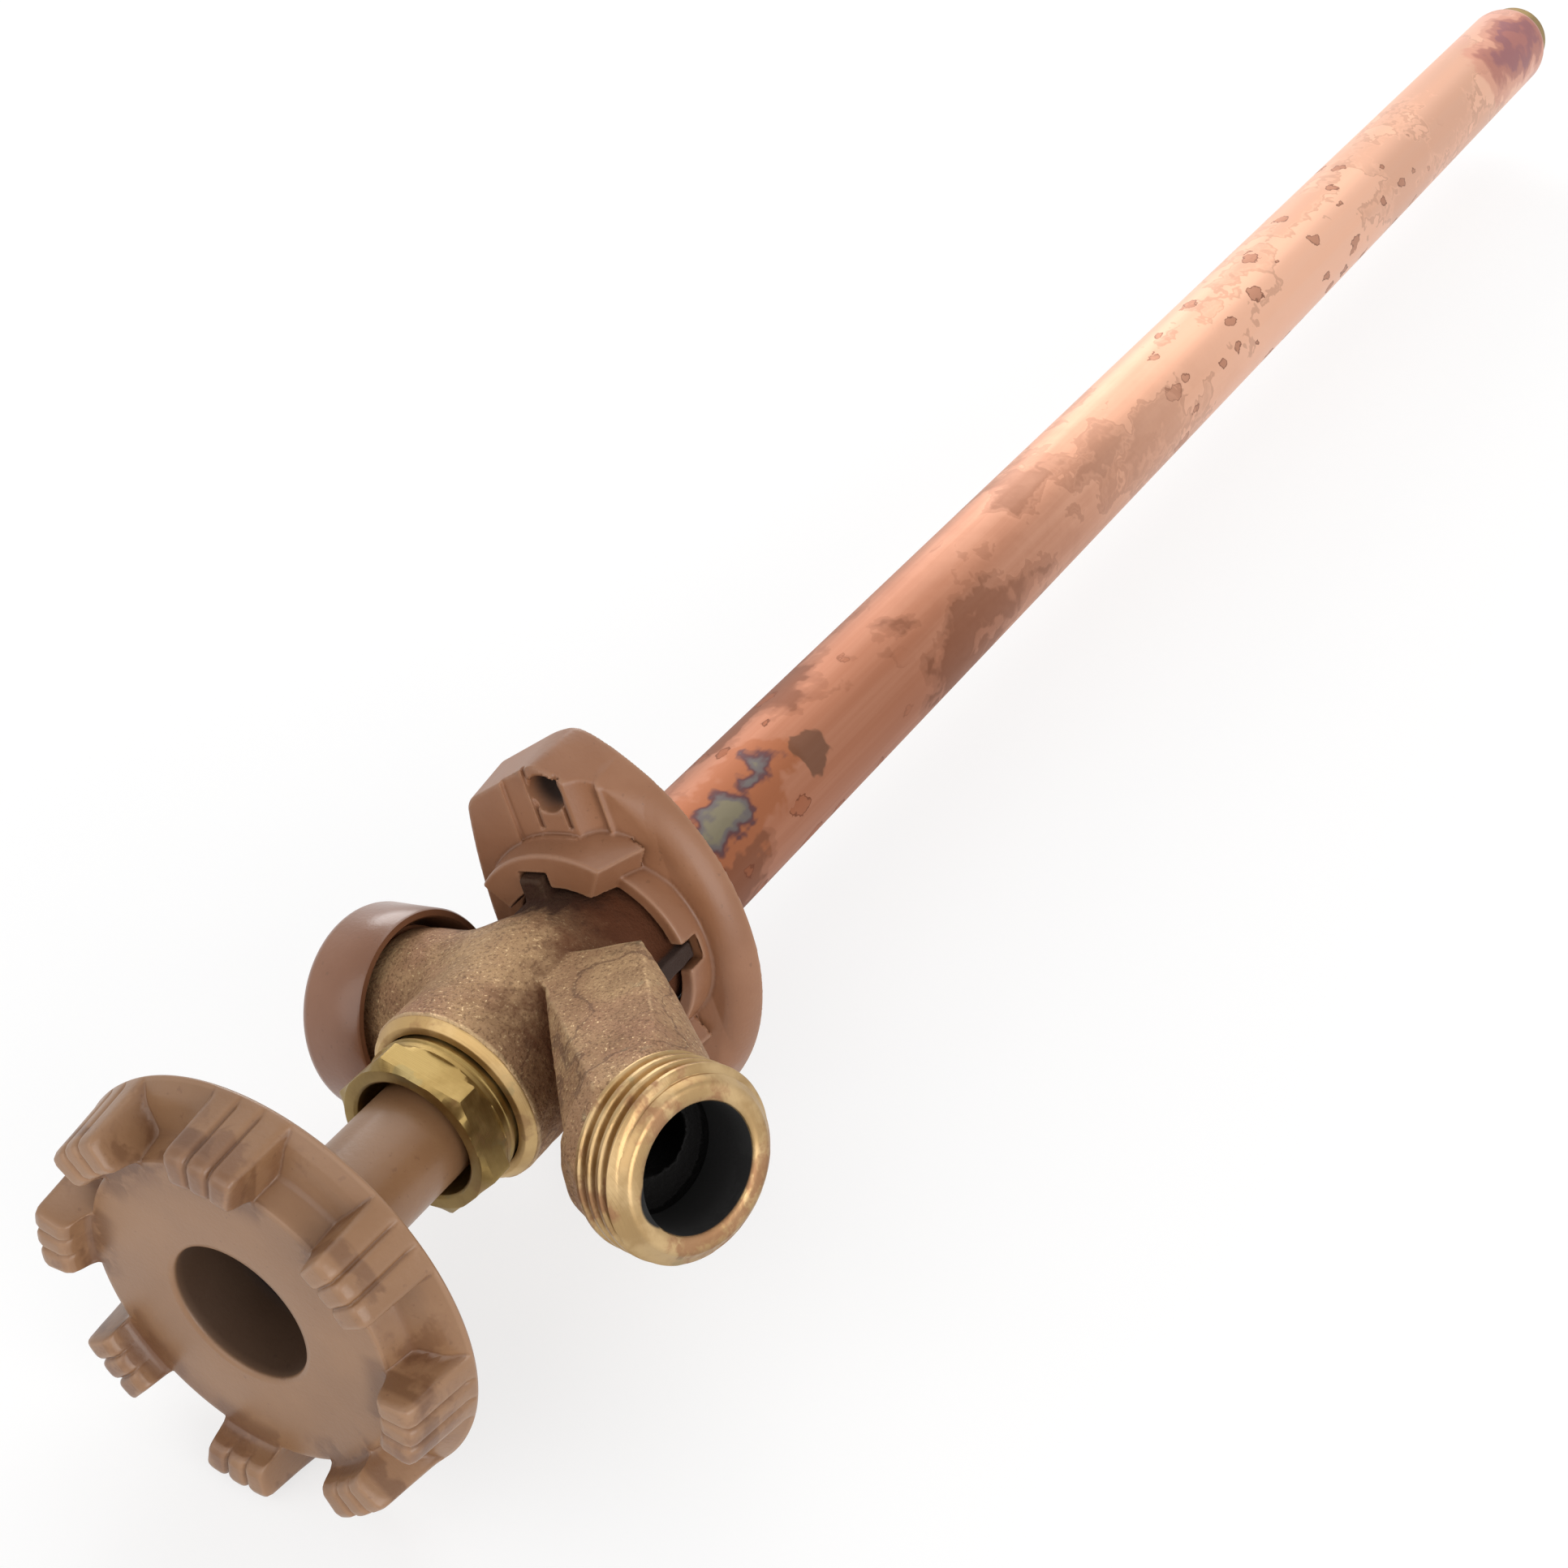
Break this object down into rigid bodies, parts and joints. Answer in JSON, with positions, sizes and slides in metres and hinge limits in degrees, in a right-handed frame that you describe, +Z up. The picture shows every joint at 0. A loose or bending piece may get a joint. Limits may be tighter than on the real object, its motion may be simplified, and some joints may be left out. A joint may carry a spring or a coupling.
{
  "type": "frost free sillcock",
  "caption": "Frost free wall sillcock: ridged handwheel, cast body with leaning hose nozzle and vacuum breaker, wall flange and a long copper tube to a remote valve seat.",
  "frame": {"origin": "on the tube axis in the plane of the wall flange's back face", "axes": "+Y along the casing tube into the wall, -Y towards the user, +Z up, +X to the user's right"},
  "size_m": [0.068, 0.5536, 0.0845],
  "materials": {
    "clay_plastic": "satin",
    "clay_gloss": "gloss",
    "cast_bronze": "sand cast",
    "copper_tube": "drawn, water stained",
    "machined_brass": "turned",
    "black_rubber": "matte",
    "red_fibre": "matte",
    "white_nylon": "satin",
    "plated_steel": "zinc plated"
  },
  "bodies": {
    "housing": {"body_casting": "cast_bronze", "casing_tube": "copper_tube", "inlet_fitting": "machined_brass", "wall_flange": "clay_plastic", "packing_nut": "machined_brass", "packing_washer": "machined_brass", "stem_packing": "black_rubber", "breaker_bonnet": "machined_brass", "bonnet_gasket": "red_fibre", "breaker_cap": "clay_gloss"},
    "plunger": {"washer_holder": "machined_brass", "seat_washer": "black_rubber", "washer_screw": "machined_brass"},
    "handle": {"handle_wheel": "clay_plastic", "handle_screw": "plated_steel", "screw_washer": "plated_steel", "stem": "machined_brass", "operating_rod": "machined_brass", "rod_pin": "plated_steel", "rod_guides": "white_nylon"},
    "vent": {"vent_float": "white_nylon", "float_seal": "black_rubber"}
  },
  "joints": [
    {"name": "stem_travel", "type": "slide", "parent": "housing", "child": "plunger", "axis": [0, -1, 0], "range_m": [0, 0.0045]},
    {"name": "handle_turn", "type": "hinge", "parent": "plunger", "child": "handle", "pos_m": [0, 0, 0], "axis": [0, -1, 0], "range_deg": [0, 540]},
    {"name": "vent_lift", "type": "slide", "parent": "housing", "child": "vent", "axis": [0, 0, 1], "range_m": [0, 0.0022]}
  ],
  "couplings": [
    {"joint": "handle_turn", "follows": "stem_travel", "rad_per_m": 2094.4}
  ]
}
